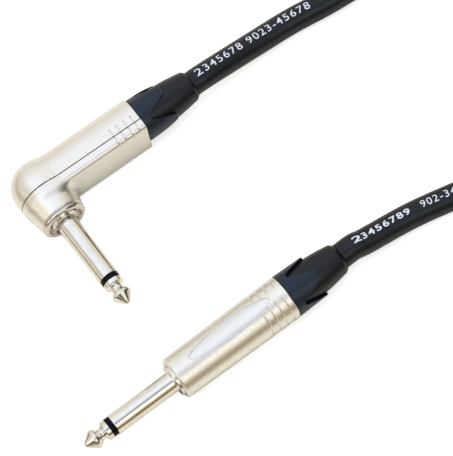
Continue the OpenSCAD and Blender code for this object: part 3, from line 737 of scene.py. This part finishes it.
housing_base, housing_cover = add_housing()

# ---- materials ----


class Look:
    """A principled material whose colour, roughness and relief come from noise."""

    SPREAD_SPAN, COLOUR_SPAN = (0.3, 0.7), (0.35, 0.65)  # parts of the noise's range in use

    def __init__(self, name, metallic=0.0, **sockets):
        self.mat = bpy.data.materials.new(name)
        self.mat.use_nodes = True
        self.nodes, self.links = self.mat.node_tree.nodes, self.mat.node_tree.links
        self.shader = self.nodes["Principled BSDF"]
        self.shader.inputs["Metallic"].default_value = metallic
        for socket, value in sockets.items():
            self.shader.inputs[socket.replace("_", " ")].default_value = value
        self.place = self.nodes.new("ShaderNodeTexCoord").outputs["Object"]
        self.normal = None

    def noise(self, size, detail):
        """Noise with features of about this size in millimetres."""
        node = self.nodes.new("ShaderNodeTexNoise")
        node.inputs["Scale"].default_value = 1 / (size * MM)
        node.inputs["Detail"].default_value = detail
        self.links.new(self.place, node.inputs["Vector"])
        return node.outputs["Fac"]

    def spread(self, fac, low, high):
        """Noise stretched over a range of values."""
        node = self.nodes.new("ShaderNodeMapRange")
        node.inputs["From Min"].default_value = self.SPREAD_SPAN[0]
        node.inputs["From Max"].default_value = self.SPREAD_SPAN[1]
        node.inputs["To Min"].default_value = low
        node.inputs["To Max"].default_value = high
        self.links.new(fac, node.inputs["Value"])
        return node.outputs[0]

    def colour(self, fac, dark, light):
        """Base colour between two colours."""
        ramp = self.nodes.new("ShaderNodeValToRGB")
        for stop, at, shade in zip(ramp.color_ramp.elements, self.COLOUR_SPAN, (dark, light)):
            stop.position = at
            stop.color = (*shade, 1)
        self.links.new(fac, ramp.inputs[0])
        self.links.new(ramp.outputs[0], self.shader.inputs["Base Color"])

    def rough(self, fac, low, high):
        self.links.new(self.spread(fac, low, high), self.shader.inputs["Roughness"])

    def relief(self, fac, depth):
        """Bump of this depth in millimetres, on top of any earlier one."""
        bump = self.nodes.new("ShaderNodeBump")
        bump.inputs["Distance"].default_value = depth * MM
        self.links.new(fac, bump.inputs["Height"])
        if self.normal:
            self.links.new(self.normal, bump.inputs["Normal"])
        self.normal = bump.outputs[0]
        self.links.new(self.normal, self.shader.inputs["Normal"])


def satin_nickel(name, rough, grain, dark, light):
    """Nickel over a blasted casting: fine speckle, with bumps of `grain` millimetres."""
    look = Look(name, 1.0)
    look.colour(look.noise(0.35, 4), dark, light)
    look.rough(look.noise(0.9, 4), *rough)
    look.relief(look.noise(0.3, 3), grain)
    look.relief(look.noise(1.6, 2), 0.01)
    return look.mat


def ring_nickel():
    look = Look("ring_nickel", 1.0)
    look.colour(look.noise(0.8, 3), (0.70, 0.66, 0.62), (0.78, 0.75, 0.72))
    look.rough(look.noise(0.6, 3), 0.14, 0.22)
    look.relief(look.noise(0.3, 2), 0.003)
    return look.mat


def polished_nickel():
    look = Look("polished_nickel", 1.0)
    look.colour(look.noise(2.5, 2), (0.80, 0.785, 0.735), (0.86, 0.845, 0.80))
    look.rough(look.noise(0.5, 3), 0.05, 0.10)
    look.relief(look.noise(1.2, 2), 0.0012)
    return look.mat


def plain_plastic(name, dark, light, rough, size=0.4, depth=0.004, **sockets):
    look = Look(name, 0.0, **sockets)
    look.colour(look.noise(size * 4, 3), dark, light)
    look.rough(look.noise(size * 2, 3), *rough)
    look.relief(look.noise(size, 2), depth)
    return look.mat


def strap_fabric():
    look = Look("strap_fabric", 0.0, Sheen_Weight=0.25, Sheen_Roughness=0.5)
    look.colour(look.noise(0.5, 4), (0.010, 0.010, 0.012), (0.035, 0.035, 0.04))
    look.rough(look.noise(0.7, 3), 0.75, 0.95)
    cells = look.nodes.new("ShaderNodeTexVoronoi")
    cells.inputs["Scale"].default_value = 1 / (0.5 * MM)
    look.links.new(look.place, cells.inputs["Vector"])
    look.relief(cells.outputs["Distance"], 0.15)
    look.relief(look.noise(0.25, 3), 0.08)
    return look.mat


def terminal_brass():
    look = Look("terminal_brass", 1.0)
    look.colour(look.noise(0.8, 3), (0.70, 0.55, 0.30), (0.82, 0.68, 0.42))
    look.rough(look.noise(0.5, 3), 0.22, 0.36)
    look.relief(look.noise(0.3, 2), 0.004)
    return look.mat


LOOKS = {
    "satin_shell": satin_nickel("satin_nickel", (0.32, 0.38), 0.0015, (0.87, 0.855, 0.82),
                                (0.92, 0.905, 0.88)),
    "bright_ring": ring_nickel(),
    "plated_contact": polished_nickel(),
    "insulator": plain_plastic("insulator", (0.0004, 0.0005, 0.002), (0.0008, 0.0012, 0.005),
                               (0.2, 0.3), 0.3, 0.002, Specular_IOR_Level=0.12),
    "terminal": terminal_brass(),
    "chuck": plain_plastic("chuck_acetal", (0.68, 0.68, 0.64), (0.76, 0.76, 0.73), (0.35, 0.48)),
    "boot_nut": plain_plastic("boot_nut", (0.002, 0.0045, 0.011), (0.004, 0.007, 0.017),
                              (0.30, 0.42), 0.25, 0.006, Specular_IOR_Level=0.62,
                              Specular_Tint=(0.66, 0.79, 1.0, 1.0)),
    "boot_guard": plain_plastic("boot_guard", (0.001, 0.0012, 0.0022), (0.002, 0.0024, 0.004),
                                (0.30, 0.42), 0.22, 0.008, Specular_IOR_Level=0.47,
                                Specular_Tint=(0.8, 0.88, 1.0, 1.0)),
    "hot_core": plain_plastic("hot_core", (0.42, 0.02, 0.015), (0.55, 0.035, 0.025), (0.4, 0.5)),
    "ground_core": plain_plastic("ground_core", (0.62, 0.62, 0.6), (0.72, 0.72, 0.7), (0.4, 0.5)),
    "cable_jacket": plain_plastic("cable_jacket", (0.0016, 0.0018, 0.003),
                                  (0.003, 0.0035, 0.0055), (0.28, 0.38), 0.35, 0.004,
                                  Specular_IOR_Level=0.46, Specular_Tint=(0.78, 0.87, 1.0, 1.0)),
    "tie": strap_fabric(),
}
ink = plain_plastic("white_ink", (0.58, 0.64, 0.76), (0.72, 0.78, 0.88), (0.5, 0.65), 0.12, 0.004)

for part in frame["record"]["subparts"]:
    obj = frame["nodes"][part["node"]]
    obj.data.materials.clear()
    obj.data.materials.append(LOOKS[part["material_slot"]])
for obj in [cable, strap, housing_base, housing_cover, front_ring, *fingers.values()]:
    obj.data.materials.append(LOOKS[obj["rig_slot"]])
straight_shell.data.materials.append(satin_nickel("blasted_nickel", (0.32, 0.38), 0.006,
                                                 (0.82, 0.80, 0.73), (1.0, 0.99, 0.96)))
straight_shell.data.materials.append(satin_nickel("oval_nickel", (0.32, 0.38), 0.005,
                                                 (0.82, 0.82, 0.815), (0.93, 0.935, 0.94)))
for piece in prints:
    piece.data.materials.append(ink)

# ---- floor, world and lamp ----

FLOOR_HALF = 3.0  # metres
FLOOR_WHITE = (0.9, 0.9, 0.89, 1)  # lights the part from below
FLOOR_PALE, FLOOR_GLOW = (0.72, 0.72, 0.715, 1), 0.62  # what the camera sees
# What the metal mirrors, a floor colour that only glossy rays see: warm paper, with painted shade
# (ambient occlusion) near and under a part, and a painted dark reflection past the paper's two
# edges, which fade between these distances
PAPER, PAINTED_DARK_PAST_PAPER = (0.80, 0.765, 0.675, 1), (0.32, 0.26, 0.16, 1)
PAPER_X = (-75 * MM, -40 * MM)
PAPER_Y = (-105 * MM, -68 * MM)
PAINTED_SHADE_REACH = 6 * MM
PAINTED_SHADE_SAMPLES = 4


def fade(nodes, links, value, start, end):
    """From 0 where the value is at `start` to 1 at `end`, smoothly."""
    node = nodes.new("ShaderNodeMapRange")
    node.interpolation_type = "SMOOTHSTEP"
    node.inputs["From Min"].default_value = start
    node.inputs["From Max"].default_value = end
    links.new(value, node.inputs["Value"])
    return node.outputs[0]


def add_floor():
    """A pale floor that keeps the part's shadow. The metal sees it in another colour, with painted
    shade and a painted dark reflection.
    """
    corners = [(-FLOOR_HALF, -FLOOR_HALF, 0), (FLOOR_HALF, -FLOOR_HALF, 0),
               (FLOOR_HALF, FLOOR_HALF, 0), (-FLOOR_HALF, FLOOR_HALF, 0)]
    floor = new_object("floor", corners, [(0, 1, 2, 3)])
    mat = bpy.data.materials.new("pale_floor")
    mat.use_nodes = True
    nodes, links = mat.node_tree.nodes, mat.node_tree.links
    nodes.clear()
    out = nodes.new("ShaderNodeOutputMaterial")
    plain = nodes.new("ShaderNodeBsdfDiffuse")
    plain.inputs["Color"].default_value = FLOOR_WHITE
    pale = nodes.new("ShaderNodeBsdfDiffuse")
    pale.inputs["Color"].default_value = FLOOR_PALE
    glow = nodes.new("ShaderNodeEmission")
    glow.inputs["Strength"].default_value = FLOOR_GLOW
    bright = nodes.new("ShaderNodeAddShader")
    links.new(pale.outputs[0], bright.inputs[0])
    links.new(glow.outputs[0], bright.inputs[1])
    split = nodes.new("ShaderNodeSeparateXYZ")
    links.new(nodes.new("ShaderNodeTexCoord").outputs["Object"], split.inputs[0])
    edges = [fade(nodes, links, split.outputs[axis], *span)
             for axis, span in (("X", PAPER_X), ("Y", PAPER_Y))]
    # Painted dark reflection: past the paper's two edges the mirrored colour turns dark, seen only
    # in the metal's reflections
    clear_of_painted_dark = nodes.new("ShaderNodeMath")
    clear_of_painted_dark.operation = "MULTIPLY"
    links.new(edges[0], clear_of_painted_dark.inputs[0])
    links.new(edges[1], clear_of_painted_dark.inputs[1])
    paper = nodes.new("ShaderNodeMix")
    paper.data_type = "RGBA"
    colours = [socket for socket in paper.inputs if socket.type == "RGBA"]
    colours[0].default_value = PAINTED_DARK_PAST_PAPER
    colours[1].default_value = PAPER
    links.new(clear_of_painted_dark.outputs[0], paper.inputs["Factor"])
    # Painted shade: ambient occlusion darkens the mirrored floor colour near and under a part
    painted_shade = nodes.new("ShaderNodeAmbientOcclusion")
    painted_shade.samples = PAINTED_SHADE_SAMPLES
    painted_shade.inputs["Distance"].default_value = PAINTED_SHADE_REACH
    links.new(next(o for o in paper.outputs if o.type == "RGBA"), painted_shade.inputs["Color"])
    mirrored = nodes.new("ShaderNodeBsdfDiffuse")
    links.new(painted_shade.outputs["Color"], mirrored.inputs["Color"])
    ray = nodes.new("ShaderNodeLightPath")
    shown = plain
    for kind, shader in (("Is Glossy Ray", mirrored), ("Is Camera Ray", bright)):
        mix = nodes.new("ShaderNodeMixShader")
        links.new(ray.outputs[kind], mix.inputs[0])
        links.new(shown.outputs[0], mix.inputs[1])
        links.new(shader.outputs[0], mix.inputs[2])
        shown = mix
    links.new(shown.outputs[0], out.inputs["Surface"])
    floor.data.materials.append(mat)


# The studio round the table, from the horizon at -Y over the top to the horizon at +Y:
# (degrees from overhead, brightness, tint)
ACROSS = [(-90, 0.36, "brown"), (-85, 0.16, "brown"), (-79, 0.1, "brown"), (-72, 0.4, "brown"),
          (-63, 0.74, "warm"), (-54, 1.26, "warm"), (-47, 1.52, "warm"), (-40, 1.5, "plain"),
          (-33, 1.04, "plain"), (-27, 0.66, "plain"), (-22, 0.05, "plain"), (-17, 0.52, "cool"),
          (-8, 0.88, "cool"), (0, 1.06, "cool"), (8, 1.14, "cool"), (19, 1.12, "cool"),
          (29, 1.0, "cool"), (41, 0.92, "plain"), (53, 0.88, "plain"), (66, 0.84, "plain"),
          (81, 0.72, "warm"), (90, 0.68, "warm")]
# The same from -X over the top to +X
ALONG = [(-90, 0.3, "brown"), (-82, 0.78, "warm"), (-76, 0.88, "warm"), (-64, 0.62, "warm"),
         (-52, 0.4, "brown"), (-41, 0.76, "warm"), (-30, 1.15, "cool"), (-20, 1.27, "cool"),
         (0, 1.1, "cool"), (20, 1.02, "plain"), (32, 0.94, "plain"), (44, 0.86, "warm"),
         (56, 0.82, "warm"), (68, 0.72, "warm"), (78, 0.36, "brown"), (86, 0.12, "brown"),
         (90, 0.1, "brown")]
TINTS = {"cool": (0.945, 0.99, 1.09), "plain": (1.0, 0.99, 0.96), "warm": (1.05, 0.98, 0.86),
         "brown": (1.34, 0.98, 0.44)}
BRIGHTEST = 1.6  # no stop may pass it: it scales the ramps' colours into 0 to 1
SHARE_SOFT = 0.05  # how soon, off the vertical, the share of ALONG follows the direction
# Two dark cards low in front, to both sides, and a light card on the left: how much they take
# from the light or add to it, and where their edges fade, as parts of a unit direction
DARK_CARDS, DARK_MIDDLE = 0.85, 0.12
DARK_SIDES, DARK_FRONT, DARK_LOW = (0.2, 0.4), (0.05, -0.15), (0.8, 0.6)
LIGHT_CARD = 1.0
LIGHT_X, LIGHT_Y, LIGHT_Z = (-0.4, -0.7), (0.24, 0.06), (0.1, 0.28)


def add_world():
    """The studio as a sky: two sweeps, mixed by how far a direction leans to X or to Y."""
    world = bpy.data.worlds.new("studio")
    bpy.context.scene.world = world
    world.use_nodes = True
    nodes, links = world.node_tree.nodes, world.node_tree.links
    split = nodes.new("ShaderNodeSeparateXYZ")
    links.new(nodes.new("ShaderNodeTexCoord").outputs["Generated"], split.inputs[0])

    def maths(operation, *values):
        node = nodes.new("ShaderNodeMath")
        node.operation = operation
        for socket, value in zip(node.inputs, values):
            if isinstance(value, (int, float)):
                socket.default_value = value
            else:
                links.new(value, socket)
        return node.outputs[0]

    def sweep(axis, stops):
        """Colours by the angle from overhead towards an axis."""
        angle = maths("ARCTAN2", split.outputs[axis], split.outputs["Z"])
        ramp = nodes.new("ShaderNodeValToRGB")
        links.new(maths("MULTIPLY_ADD", angle, 1 / math.pi, 0.5), ramp.inputs[0])
        spots = ramp.color_ramp.elements
        for _ in range(len(stops) - 2):
            spots.new(0.5)
        for spot, (at, level, tint) in zip(spots, stops):
            spot.position = at / 180 + 0.5
            spot.color = (*(level * t / BRIGHTEST for t in TINTS[tint]), 1)
        return ramp.outputs[0]

    def card(*edges):
        """1 on a card and 0 off it, from pairs of a value and its fade."""
        first, *others = [fade(nodes, links, value, *span) for value, span in edges]
        for edge in others:
            first = maths("MULTIPLY", first, edge)
        return first

    x, y, z = (split.outputs[axis] for axis in "XYZ")
    xx, yy = maths("MULTIPLY", x, x), maths("MULTIPLY", y, y)
    share = maths("DIVIDE", xx, maths("ADD", maths("ADD", xx, yy), SHARE_SOFT))
    aside = maths("ABSOLUTE", maths("SUBTRACT", x, DARK_MIDDLE))
    dark = card((aside, DARK_SIDES), (y, DARK_FRONT), (z, DARK_LOW))
    light = card((y, LIGHT_Y), (x, LIGHT_X), (z, LIGHT_Z))
    mix = nodes.new("ShaderNodeMix")
    mix.data_type = "RGBA"
    links.new(share, mix.inputs["Factor"])
    links.new(sweep("Y", ACROSS), mix.inputs["A"])
    links.new(sweep("X", ALONG), mix.inputs["B"])
    back = nodes["Background"]
    links.new(next(o for o in mix.outputs if o.type == "RGBA"), back.inputs["Color"])
    cards = maths("SUBTRACT", maths("MULTIPLY", light, LIGHT_CARD),
                  maths("MULTIPLY", dark, DARK_CARDS))
    links.new(maths("MULTIPLY", maths("ADD", cards, 1.0), BRIGHTEST), back.inputs["Strength"])


KEY_AT, KEY_AIM = Vector((-0.1, -0.05, 1.1)), Vector((0.02, 0, 0))
KEY_SIZE, KEY_POWER, KEY_COLOUR = (0.7, 0.6), 4.6, (0.98, 0.99, 1.0)


def add_key_lamp():
    """A large soft lamp overhead that gives the shadow. The metal mirrors only the sky."""
    data = bpy.data.lights.new("key", "AREA")
    data.shape = "RECTANGLE"
    data.size, data.size_y = KEY_SIZE
    data.energy = KEY_POWER
    data.color = KEY_COLOUR
    lamp = bpy.data.objects.new("key", data)
    lamp.location = KEY_AT
    lamp.rotation_euler = (KEY_AIM - KEY_AT).to_track_quat("-Z", "Y").to_euler()
    lamp.visible_glossy = False
    bpy.context.collection.objects.link(lamp)


add_floor()
add_world()
add_key_lamp()

bpy.context.scene.view_settings.view_transform = "Standard"
